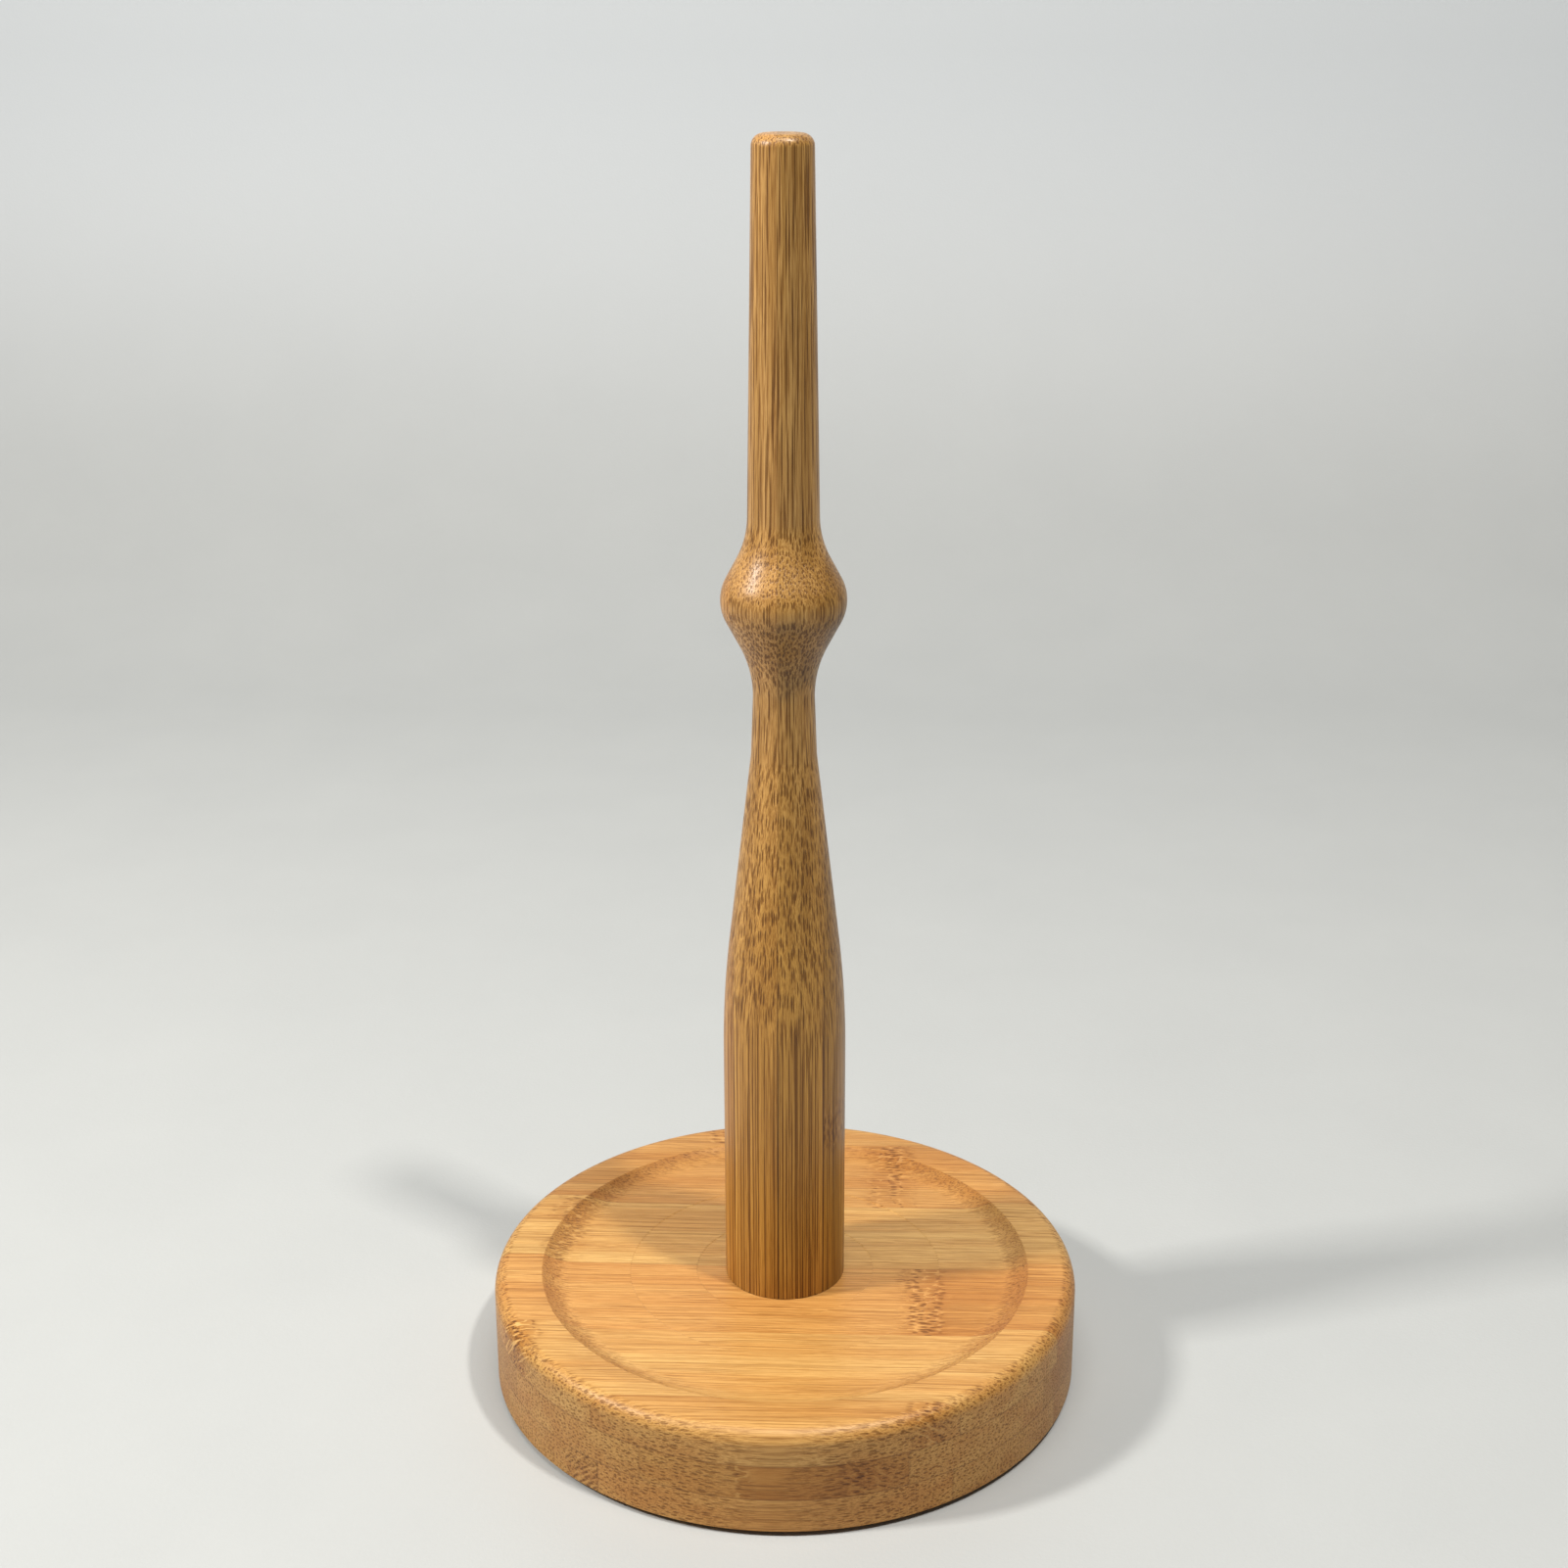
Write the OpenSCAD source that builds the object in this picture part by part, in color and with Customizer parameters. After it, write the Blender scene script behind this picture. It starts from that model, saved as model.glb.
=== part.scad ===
// Countertop paper towel holder: a round, dished base board with a turned post screwed to its middle.
// Board and post are laminated bamboo. The board is three plies of flat strips that run along X, and
// the post is turned from a blank of upright slats. A screw from below, with a washer, pulls the post
// down onto the dish floor by a threaded insert in its foot. Four pads keep the board off the counter.
// The origin is on the counter under the middle of the base, and +Z is up.

/* [Base board] */
// Diameter of the round base
base_d = 150; // [125:1:200]
// Thickness of each of the three plies
ply_t = 9; // [7.5:0.5:12]
// Radius of the rounded top edge
top_round_r = 3.8; // [1:0.1:6]
// Chamfer round the bottom edge
bottom_chamfer = 0.5; // [0.2:0.1:2]

/* [Dish] */
// Width of the rim, from the side of the base to the edge of the dish
rim_w = 12.2; // [8:0.1:20]
// Depth of the dish at its outer ring
dish_depth = 2.2; // [1:0.1:4]
// Step down from one ring of the dish floor to the next one in
ring_step = 0.15; // [0.05:0.05:0.4]
// Radius of the middle ring of the dish floor
middle_ring_r = 40; // [30:1:44]
// Radius of the inner ring of the dish floor
inner_ring_r = 22.7; // [20:0.1:28]
// Radius of the cove between the dish floor and the rim
cove_r = 14; // [8:0.5:20]

/* [Strips and slats] */
// Width of a flat strip in the base board
strip_w = 30.5; // [20:0.5:40]
// Distance of a glue joint from the middle, in the top ply
top_joint_y = 0; // [-10:0.5:10]
// Distance of a glue joint from the middle, in the middle ply
middle_joint_y = -7; // [-10:0.5:10]
// Distance of a glue joint from the middle, in the bottom ply
bottom_joint_y = -1; // [-10:0.5:10]
// Thickness of an upright slat in the post
slat_t = 5.6; // [4.5:0.1:8]
// Distance of a glue joint from the axis, in the post
slat_joint_x = -1.1; // [-2:0.1:0]
// Least width of a strip at the edge of the board
least_strip_w = 5; // [3:0.5:10]
// Least thickness of a slat at the side of the post
least_slat_t = 1.5; // [1:0.1:3]

/* [Post] */
// Length of the post above the dish floor
post_h = 286.8; // [235:0.1:360]
// Diameter of the foot
foot_d = 30.6; // [25:0.1:38]
// Height of the straight foot
foot_h = 63.6; // [40:0.1:80]
// Height at which the taper ends and the neck starts
neck_h = 141.5; // [125:0.1:150]
// Share of the taper that is curved, at its foot end
taper_curve = 0.38; // [0.1:0.02:0.9]
// Diameter of the neck at its bottom
neck_low_d = 15.9; // [15:0.1:18]
// Diameter of the neck under the bead
neck_d = 14.8; // [13:0.1:15]
// Height of the bead's widest line
bead_h = 179.9; // [175:0.1:190]
// Diameter of the bead
bead_d = 30; // [25:0.1:36]
// Radius of the rounded middle of the bead
bead_round_r = 10.7; // [6:0.1:11]
// Angle between the bead's flanks and the axis
flank_angle = 28; // [20:1:40]
// Radius of the cove between the neck and the bead
neck_cove_r = 27; // [10:1:28]
// Radius of the cove between the bead and the rod
rod_cove_r = 22; // [10:1:26]
// Diameter of the rod above the bead
rod_low_d = 17; // [15.5:0.1:20]
// Diameter of the rod below its tip
rod_top_d = 14.3; // [13.6:0.1:16]
// Radius of the rounded tip
tip_round_r = 2.8; // [1:0.1:5]

/* [Fastening] */
// Diameter of the screw's thread
screw_d = 6; // [5:0.5:8]
// Length of screw inside the post
screw_reach = 19.5; // [12:0.5:30]
// Diameter of the screw's button head
screw_head_d = 10.5; // [9:0.1:13]
// Height of the screw's button head
screw_head_h = 3.3; // [2.5:0.1:5]
// Distance across the flats of the hexagon socket
hex_key = 4; // [3:0.5:5]
// Depth of the hexagon socket
hex_depth = 2; // [1.5:0.1:2.4]
// Outer diameter of the washer
washer_d = 14; // [13:0.5:20]
// Thickness of the washer
washer_t = 1.6; // [1:0.1:2.5]
// Depth of the screw head above the underside
head_recess = 0.7; // [0.2:0.1:2]
// Gap round the screw in the base and in the washer
screw_gap = 0.3; // [0.2:0.1:0.8]
// Gap round the washer in its counterbore
washer_gap = 0.5; // [0.3:0.1:1]
// Wall of the threaded insert round the screw
insert_wall = 1; // [0.8:0.1:1.3]
// Length of the threaded insert
insert_l = 15; // [10:1:20]
// Depth of the grooves round the insert
insert_groove = 0.3; // [0.1:0.1:0.5]
// Clear depth of the post's bore past the end of the screw
bore_spare = 2.5; // [1:0.5:6]

/* [Pads] */
// Diameter of a non-slip pad
pad_d = 12.7; // [8:0.1:20]
// Thickness of a non-slip pad
pad_t = 1; // [0.8:0.1:3]
// Distance from the side of the base to the middle of a pad
pad_inset = 17; // [12:1:24]

/* [Hidden] */
$fn = 96;
OVER = 1; // how far a cut runs past the surface it opens
PLIES = ["bottom", "middle", "top"];
PAD_ANGLES = [45, 135, 225, 315];
BOARD_TINTS = ["#d9a55f", "#e2b26c", "#cf9750", "#dcab64", "#c98f49", "#e0ae69"];
POST_TINTS = ["#b97c3f", "#c58a4a", "#ba7a3c", "#c8904f", "#b5763a", "#c1864a"];

base_r = base_d / 2;
base_t = len(PLIES) * ply_t;
base_top = pad_t + base_t;
dish_r = base_r - rim_w;
dish_floor = base_top - dish_depth;
middle_floor = dish_floor - ring_step;
foot_z = middle_floor - ring_step;
floor_edge_r = dish_r - sqrt(cove_r * cove_r - (cove_r - dish_depth) * (cove_r - dish_depth));

screw_r = screw_d / 2;
insert_r = screw_r + insert_wall;
seat_z = pad_t + head_recess + screw_head_h + washer_t;
head_z = seat_z - washer_t - screw_head_h;
screw_tip_z = foot_z + screw_reach;
bore_l = screw_reach + bore_spare;
counterbore_r = washer_d / 2 + washer_gap;

foot_r = foot_d / 2;
neck_r = neck_d / 2;
post_max_r = max(foot_r, bead_d / 2);

// Points of an arc about [cx, cz], in n steps from angle a0 to angle a1
function arc(cx, cz, r, a0, a1, n) =
    [for (i = [0:n]) let (a = a0 + (a1 - a0) * i / n) [cx + r * cos(a), cz + r * sin(a)]];

// Share of the taper's fall in radius at share t of its height: a parabola, then a straight line
function taper_share(t) =
    let (c = taper_curve, k = 1 / (2 * c - c * c))
    t < c ? k * t * t : k * c * c + 2 * k * c * (t - c);

// Outline of one half of the post, as [radius, height above the dish floor]
bead_end_r = bead_d / 2 - bead_round_r * (1 - cos(flank_angle));
bead_end_h = bead_round_r * sin(flank_angle);
// Height of a cove's start below or above the bead's widest line
function cove_start(r, cove) =
    bead_end_h + (bead_end_r - r - cove * (1 - cos(flank_angle))) / tan(flank_angle)
    + cove * sin(flank_angle);
neck_top_h = bead_h - cove_start(neck_r, neck_cove_r);
rod_h = bead_h + cove_start(rod_low_d / 2, rod_cove_r);

POST_OUTLINE = concat(
    [[0, 0], [foot_r, 0]],
    [for (i = [0:12]) let (t = i / 12)
        [foot_r - (foot_r - neck_low_d / 2) * taper_share(t), foot_h + (neck_h - foot_h) * t]],
    arc(neck_r + neck_cove_r, neck_top_h, neck_cove_r, 180, 180 - flank_angle, 6),
    arc(bead_d / 2 - bead_round_r, bead_h, bead_round_r, -flank_angle, flank_angle, 10),
    arc(rod_low_d / 2 + rod_cove_r, rod_h, rod_cove_r, 180 + flank_angle, 180, 6),
    arc(rod_top_d / 2 - tip_round_r, post_h - tip_round_r, tip_round_r, 0, 90, 6),
    [[0, post_h]]);

// Pieces are numbered from the middle outwards on each side, so a smaller board drops the outer ones.
// Each side has its name and its direction, along Y in the board and along X in the post.
BOARD_SIDES = [["front", -1], ["back", 1]];
POST_SIDES = [["left", -1], ["right", 1]];

// Edges of the pieces on one side: each joint from the middle one out to the last place for one, and
// an edge past the surface
function edges(middle, pitch, last, surface_r, dir) =
    concat([for (k = [0:floor((last - dir * middle) / pitch)]) middle + dir * k * pitch],
           [dir * (surface_r + OVER)]);
function strip_edges(ply, dir) =
    edges([bottom_joint_y, middle_joint_y, top_joint_y][ply], strip_w,
          base_r - least_strip_w, base_r, dir);
function slat_edges(dir) =
    edges(slat_joint_x, slat_t, min(foot_r, bead_d / 2) - least_slat_t, post_max_r, dir);
function count(edges) = len(edges) - 1;

// Turning the neck cuts an outer slat in two, one piece in the foot and one in the bead
neck_mid_h = (neck_h + neck_top_h) / 2;
function is_cut(i, dir) = dir * slat_edges(dir)[i - 1] > neck_r;

function strip_name(ply, side, i) = str("base_", PLIES[ply], "_", side[0], "_strip_", i);
function slat_name(side, i) = str("post_", side[0], "_slat_", i);
function bead_slat_name(side, i) = str("bead_", side[0], "_slat_", i);
function pad_name(i) = str("non_slip_pad_", i);

// A cut that rounds the board's top edge, as a half section
module top_edge_cut() {
    translate([base_r - top_round_r, base_top - top_round_r])
        difference() {
            square(top_round_r + OVER);
            circle(r = top_round_r);
        }
}

// Half section of the board before the dish is cut
module board_section() {
    difference() {
        translate([0, pad_t]) square([base_r, base_t]);
        top_edge_cut();
        translate([base_r, pad_t]) rotate(45)
            square(bottom_chamfer * sqrt(2), center = true);
    }
}

// Half section of the dish down to its outer ring, with the cove at its edge
module dish_section() {
    difference() {
        translate([0, dish_floor]) square([floor_edge_r + cove_r, dish_depth + OVER]);
        translate([floor_edge_r, dish_floor - OVER])
            difference() {
                square([cove_r + OVER, cove_r + OVER]);
                translate([0, cove_r + OVER]) circle(r = cove_r);
            }
    }
}

// The clearance hole through the board, and the counterbore for the screw head and washer
module screw_way() {
    cylinder(r = screw_r + screw_gap, h = base_top + OVER);
    cylinder(r = counterbore_r, h = seat_z);
}

module base_board() {
    difference() {
        rotate_extrude() board_section();
        rotate_extrude() dish_section();
        translate([0, 0, middle_floor]) cylinder(r = middle_ring_r, h = dish_depth);
        translate([0, 0, foot_z]) cylinder(r = inner_ring_r, h = dish_depth);
        screw_way();
    }
}

// Strip i on one side of a ply, where ply 0 is the bottom one
module base_strip(ply, dir, i) {
    edges = strip_edges(ply, dir);
    color(BOARD_TINTS[(i + 2 * ply + (dir > 0 ? 3 : 0)) % len(BOARD_TINTS)])
        intersection() {
            base_board();
            translate([-base_r - OVER, min(edges[i - 1], edges[i]), pad_t + ply * ply_t])
                cube([base_d + 2 * OVER, abs(edges[i] - edges[i - 1]), ply_t]);
        }
}

module turned_post() {
    difference() {
        translate([0, 0, foot_z]) rotate_extrude() polygon(POST_OUTLINE);
        translate([0, 0, foot_z - OVER]) cylinder(r = insert_r, h = bore_l + OVER);
    }
}

// The part of a slat between two heights above the dish floor
module slat_between(dir, i, low_h, high_h) {
    edges = slat_edges(dir);
    color(POST_TINTS[(i + (dir > 0 ? 3 : 0)) % len(POST_TINTS)])
        intersection() {
            turned_post();
            translate([min(edges[i - 1], edges[i]), -post_max_r - OVER, foot_z + low_h])
                cube([abs(edges[i] - edges[i - 1]), 2 * (post_max_r + OVER), high_h - low_h]);
        }
}

module post_slat(dir, i) {
    slat_between(dir, i, -OVER, is_cut(i, dir) ? neck_mid_h : post_h + OVER);
}

module bead_slat(dir, i) {
    slat_between(dir, i, neck_mid_h, post_h + OVER);
}

// Press-in insert, its outside grooved twice to grip the bamboo
module threaded_insert() {
    groove_h = insert_l / 5;
    color("#c9a24a")
        translate([0, 0, foot_z])
            difference() {
                cylinder(r = insert_r, h = insert_l);
                translate([0, 0, -OVER]) cylinder(r = screw_r, h = insert_l + 2 * OVER);
                for (k = [1, 3])
                    translate([0, 0, k * groove_h])
                        difference() {
                            cylinder(r = insert_r + OVER, h = groove_h);
                            translate([0, 0, -OVER])
                                cylinder(r = insert_r - insert_groove, h = groove_h + 2 * OVER);
                        }
            }
}

// Button-head screw with a hexagon socket, its head down
module post_screw() {
    shank_z = head_z + screw_head_h;
    tip_chamfer = screw_d / 8;
    dome_r = (screw_head_d * screw_head_d / 4 + screw_head_h * screw_head_h) / (2 * screw_head_h);
    color("#b9bcc0")
        difference() {
            union() {
                intersection() {
                    translate([0, 0, head_z + dome_r]) sphere(r = dome_r);
                    translate([0, 0, head_z]) cylinder(d = screw_head_d, h = screw_head_h);
                }
                translate([0, 0, shank_z]) cylinder(r = screw_r, h = screw_tip_z - tip_chamfer - shank_z);
                translate([0, 0, screw_tip_z - tip_chamfer])
                    cylinder(r1 = screw_r, r2 = screw_r - tip_chamfer, h = tip_chamfer);
            }
            translate([0, 0, head_z - OVER])
                cylinder(d = hex_key / cos(30), h = hex_depth + OVER, $fn = 6);
        }
}

module screw_washer() {
    color("#c4c7ca")
        translate([0, 0, seat_z - washer_t])
            difference() {
                cylinder(d = washer_d, h = washer_t);
                translate([0, 0, -OVER]) cylinder(r = screw_r + screw_gap, h = washer_t + 2 * OVER);
            }
}

// Round rubber pad, slightly narrower where it meets the counter
module non_slip_pad(i) {
    color("#3a3835")
        rotate(PAD_ANGLES[i - 1]) translate([base_r - pad_inset, 0, 0])
            cylinder(d1 = pad_d - pad_t / 2, d2 = pad_d, h = pad_t);
}

for (ply = [0:2]) for (side = BOARD_SIDES) for (i = [1:count(strip_edges(ply, side[1]))])
    base_strip(ply, side[1], i);
for (side = POST_SIDES) for (i = [1:count(slat_edges(side[1]))])
    post_slat(side[1], i);
for (side = POST_SIDES) for (i = [1:count(slat_edges(side[1]))])
    if (is_cut(i, side[1]))
        bead_slat(side[1], i);
threaded_insert();
post_screw();
screw_washer();
for (i = [1:len(PAD_ANGLES)])
    non_slip_pad(i);
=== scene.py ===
"""Looks of the paper towel holder: a lathe-turned post and a dished board, both laminated bamboo."""
import math

import bmesh
import bpy
from mathutils import Matrix, Vector


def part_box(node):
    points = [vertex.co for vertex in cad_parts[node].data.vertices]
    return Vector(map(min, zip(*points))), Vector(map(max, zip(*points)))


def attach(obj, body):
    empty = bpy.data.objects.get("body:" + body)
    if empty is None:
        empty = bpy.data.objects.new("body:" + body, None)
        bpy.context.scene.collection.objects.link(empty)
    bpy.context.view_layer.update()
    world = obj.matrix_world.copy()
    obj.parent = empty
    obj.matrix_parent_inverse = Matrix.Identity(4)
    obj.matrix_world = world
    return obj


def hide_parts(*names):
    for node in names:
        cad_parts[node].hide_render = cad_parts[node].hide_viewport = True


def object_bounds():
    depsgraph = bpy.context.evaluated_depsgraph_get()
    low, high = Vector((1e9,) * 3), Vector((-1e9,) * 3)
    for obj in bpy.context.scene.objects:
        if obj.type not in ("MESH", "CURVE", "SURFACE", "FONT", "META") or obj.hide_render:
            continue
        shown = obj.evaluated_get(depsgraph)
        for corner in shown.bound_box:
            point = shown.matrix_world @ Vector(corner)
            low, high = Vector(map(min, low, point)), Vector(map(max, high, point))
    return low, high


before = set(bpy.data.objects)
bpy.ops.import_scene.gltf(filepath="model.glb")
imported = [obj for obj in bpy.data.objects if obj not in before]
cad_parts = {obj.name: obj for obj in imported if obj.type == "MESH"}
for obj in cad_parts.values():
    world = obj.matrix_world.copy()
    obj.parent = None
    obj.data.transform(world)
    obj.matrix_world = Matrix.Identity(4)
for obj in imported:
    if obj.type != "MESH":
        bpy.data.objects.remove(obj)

cad_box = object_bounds()
MM = 0.001

# ---------------------------------------------------------------- sizes, from the frame
PLIES = ("bottom", "middle", "top")
BOARD_SIDES = ("front", "back")
POST_SIDES = ("left", "right")
STRIP_NUMBERS = (1, 2, 3)
OUTERMOST = STRIP_NUMBERS[-1]


def strip_name(ply, side, i):
    return f"base_{ply}_{side}_strip_{i}"


def slat_name(side, i):
    return f"post_{side}_slat_{i}"


def bead_slat_name(side, i):
    return f"bead_{side}_slat_{i}"


BASE_R = cad_box[1].x
PAD_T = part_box(strip_name("bottom", "front", 1))[0].z
BASE_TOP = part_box(strip_name("top", "front", 1))[1].z
FOOT_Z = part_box(slat_name("left", 1))[0].z
POST_TOP = cad_box[1].z
PLY_EDGES = {ply: (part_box(strip_name(ply, "front", 1))[0].z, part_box(strip_name(ply, "front", 1))[1].z)
             for ply in PLIES}

# Shape of the board, as in the design
TOP_ROUND_R = 3.8 * MM
BOTTOM_CHAMFER = 0.5 * MM
DISH_R = BASE_R - 12.2 * MM
DISH_DEPTH = 2.2 * MM
RING_STEP = 0.15 * MM
RING_SLOPE = 0.3 * MM
RING_EASE = 0.15 * MM
RING_RADII = (22.7 * MM, 40 * MM)
COVE_R = 14 * MM
SCREW_HOLE_R = 3.3 * MM
COUNTERBORE_R = 7.5 * MM
SEAT_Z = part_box("screw_washer")[1].z

# Shape of the post, as in the design
FOOT_R = 15.3 * MM
FOOT_H = 63.6 * MM
NECK_H = 141.5 * MM
TAPER_CURVE = 0.38
NECK_LOW_R = 7.95 * MM
NECK_R = 7.4 * MM
BEAD_H = 179.9 * MM
BEAD_R = 15 * MM
BEAD_ROUND_R = 10.7 * MM
FLANK = math.radians(28)
NECK_COVE_R = 27 * MM
ROD_COVE_R = 22 * MM
ROD_LOW_R = 8.5 * MM
ROD_TOP_R = 7.15 * MM
TIP_ROUND_R = 2.8 * MM
BORE_R = 4 * MM
BORE_L = 22 * MM
POST_H = POST_TOP - FOOT_Z

# How finely the turned outlines are divided
LATHE_STEPS = 288
FOOT_STEPS = 8
TAPER_STEPS = 40
ROD_STEPS = 12
ON_AXIS = 1e-7
SHARP_EDGE = math.radians(30)


# ---------------------------------------------------------------- outlines
def arc(cx, cz, r, a0, a1, n):
    """Points of an arc about (cx, cz), in n steps from angle a0 to a1 in degrees."""
    out = []
    for i in range(n + 1):
        a = math.radians(a0 + (a1 - a0) * i / n)
        out.append((cx + r * math.cos(a), cz + r * math.sin(a)))
    return out


def taper_share(t):
    """Share of the taper's fall in radius at share t of its height: a parabola, then a line."""
    c = TAPER_CURVE
    k = 1 / (2 * c - c * c)
    return k * t * t if t < c else k * c * c + 2 * k * c * (t - c)


def cove_start(r, cove):
    """Height from the bead's widest line to where a cove meets the plain turning of radius r."""
    end_r = BEAD_R - BEAD_ROUND_R * (1 - math.cos(FLANK))
    straight = (end_r - r - cove * (1 - math.cos(FLANK))) / math.tan(FLANK)
    return BEAD_ROUND_R * math.sin(FLANK) + straight + cove * math.sin(FLANK)


def post_outline():
    """Half outline of the post from the bore's end round to the tip, as (radius, z)."""
    flank = math.degrees(FLANK)
    neck_top = BEAD_H - cove_start(NECK_R, NECK_COVE_R)
    rod = BEAD_H + cove_start(ROD_LOW_R, ROD_COVE_R)
    foot_edge = 0.25 * MM
    points = [(0, BORE_L), (BORE_R, BORE_L), (BORE_R, 0), (FOOT_R - foot_edge, 0)]
    points += arc(FOOT_R - foot_edge, foot_edge, foot_edge, -60, 0, 3)
    points += [(FOOT_R, FOOT_H * i / FOOT_STEPS) for i in range(1, FOOT_STEPS)]
    for i in range(TAPER_STEPS + 1):
        t = i / TAPER_STEPS
        points.append((FOOT_R - (FOOT_R - NECK_LOW_R) * taper_share(t), FOOT_H + (NECK_H - FOOT_H) * t))
    points += arc(NECK_R + NECK_COVE_R, neck_top, NECK_COVE_R, 180, 180 - flank, 16)
    points += arc(BEAD_R - BEAD_ROUND_R, BEAD_H, BEAD_ROUND_R, -flank, flank, 24)
    points += arc(ROD_LOW_R + ROD_COVE_R, rod, ROD_COVE_R, 180 + flank, 180, 16)
    top = POST_H - TIP_ROUND_R
    for i in range(1, ROD_STEPS):
        t = i / ROD_STEPS
        points.append((ROD_LOW_R + (ROD_TOP_R - ROD_LOW_R) * t, rod + (top - rod) * t))
    points += arc(ROD_TOP_R - TIP_ROUND_R, top, TIP_ROUND_R, 0, 90, 12)
    points.append((0, POST_H))
    return [(r, z + FOOT_Z) for r, z in points]


def bottom_ply_outline():
    """Closed half section of the bottom ply, with its counterbore and chamfer."""
    low, high = PLY_EDGES["bottom"]
    return [(SCREW_HOLE_R, high), (SCREW_HOLE_R, SEAT_Z), (COUNTERBORE_R, SEAT_Z), (COUNTERBORE_R, low),
            (BASE_R - BOTTOM_CHAMFER, low), (BASE_R, low + BOTTOM_CHAMFER), (BASE_R, high)]


def middle_ply_outline():
    """Closed half section of the middle ply: a plain disc with the screw's hole."""
    low, high = PLY_EDGES["middle"]
    return [(SCREW_HOLE_R, high), (SCREW_HOLE_R, low), (BASE_R, low), (BASE_R, high)]


def top_ply_outline():
    """Closed half section of the top ply: ringed dish floor, cove, flat rim and rounded edge."""
    low = PLY_EDGES["top"][0]
    floor = BASE_TOP - DISH_DEPTH
    inner, middle = RING_RADII
    rise = math.acos((COVE_R - DISH_DEPTH) / COVE_R)
    cove_x = DISH_R - COVE_R * math.sin(rise)
    lip = 0.15 * MM
    lip_turn = 0.6  # degrees of the cove that the eased lip takes away
    points = [(SCREW_HOLE_R, low), (BASE_R, low), (BASE_R, low + 2 * MM)]
    points += arc(BASE_R - TOP_ROUND_R, BASE_TOP - TOP_ROUND_R, TOP_ROUND_R, 0, 90, 16)
    points += [(DISH_R + lip, BASE_TOP), (DISH_R + lip / 3, BASE_TOP - lip / 5)]
    points += arc(cove_x, floor + COVE_R, COVE_R, math.degrees(rise) - 90 - lip_turn, -90, 14)
    for ring, high, low_side in ((middle, floor, floor - RING_STEP), (inner, floor - RING_STEP, FOOT_Z)):
        points += [(ring + RING_SLOPE + RING_EASE, high), (ring + RING_SLOPE, high), (ring, low_side),
                   (ring - RING_EASE, low_side)]
    points += [(SCREW_HOLE_R, FOOT_Z)]
    return points


# ---------------------------------------------------------------- mesh making
def lathe(points, closed, steps=LATHE_STEPS, radius_at=None):
    """A turned solid from a half outline. Points on the axis become poles.

    radius_at(r, z, angle) may change the radius round the turn.
    """
    bm = bmesh.new()
    rings = []
    for r, z in points:
        if r < ON_AXIS:
            rings.append([bm.verts.new((0, 0, z))])
            continue
        ring = []
        for i in range(steps):
            a = 2 * math.pi * i / steps
            turned = radius_at(r, z, a) if radius_at else r
            ring.append(bm.verts.new((turned * math.cos(a), turned * math.sin(a), z)))
        rings.append(ring)
    pairs = list(zip(rings, rings[1:] + rings[:1])) if closed else list(zip(rings, rings[1:]))
    for a, b in pairs:
        for i in range(steps):
            j = (i + 1) % steps
            corners = [a[i % len(a)], a[j % len(a)], b[j % len(b)], b[i % len(b)]]
            bm.faces.new(list(dict.fromkeys(corners)))
    bmesh.ops.recalc_face_normals(bm, faces=bm.faces)
    return bm


def cut(bm, axis, value, keep_above):
    """Cuts the solid flat across an axis and closes it, keeping one side."""
    normal = Vector((0, 0, 0))
    normal[axis] = -1 if keep_above else 1
    point = Vector((0, 0, 0))
    point[axis] = value
    made = bmesh.ops.bisect_plane(bm, geom=bm.verts[:] + bm.edges[:] + bm.faces[:], dist=1e-8,
                                  plane_co=point, plane_no=normal, clear_outer=True)
    edges = [e for e in made["geom_cut"] if isinstance(e, bmesh.types.BMEdge) and e.is_boundary]
    bmesh.ops.triangle_fill(bm, use_beauty=True, use_dissolve=False, edges=edges, normal=normal)


def make_piece(name, bm, material, node):
    """Turns the mesh into the visible piece that stands in for a node of the design."""
    mesh = bpy.data.meshes.new(name)
    bmesh.ops.recalc_face_normals(bm, faces=bm.faces)
    bm.to_mesh(mesh)
    bm.free()
    mesh.polygons.foreach_set("use_smooth", [True] * len(mesh.polygons))
    mesh.set_sharp_from_angle(angle=SHARP_EDGE)
    piece = bpy.data.objects.new(name, mesh)
    bpy.context.scene.collection.objects.link(piece)
    mesh.materials.append(material)
    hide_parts(node)
    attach(piece, "root")


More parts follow.
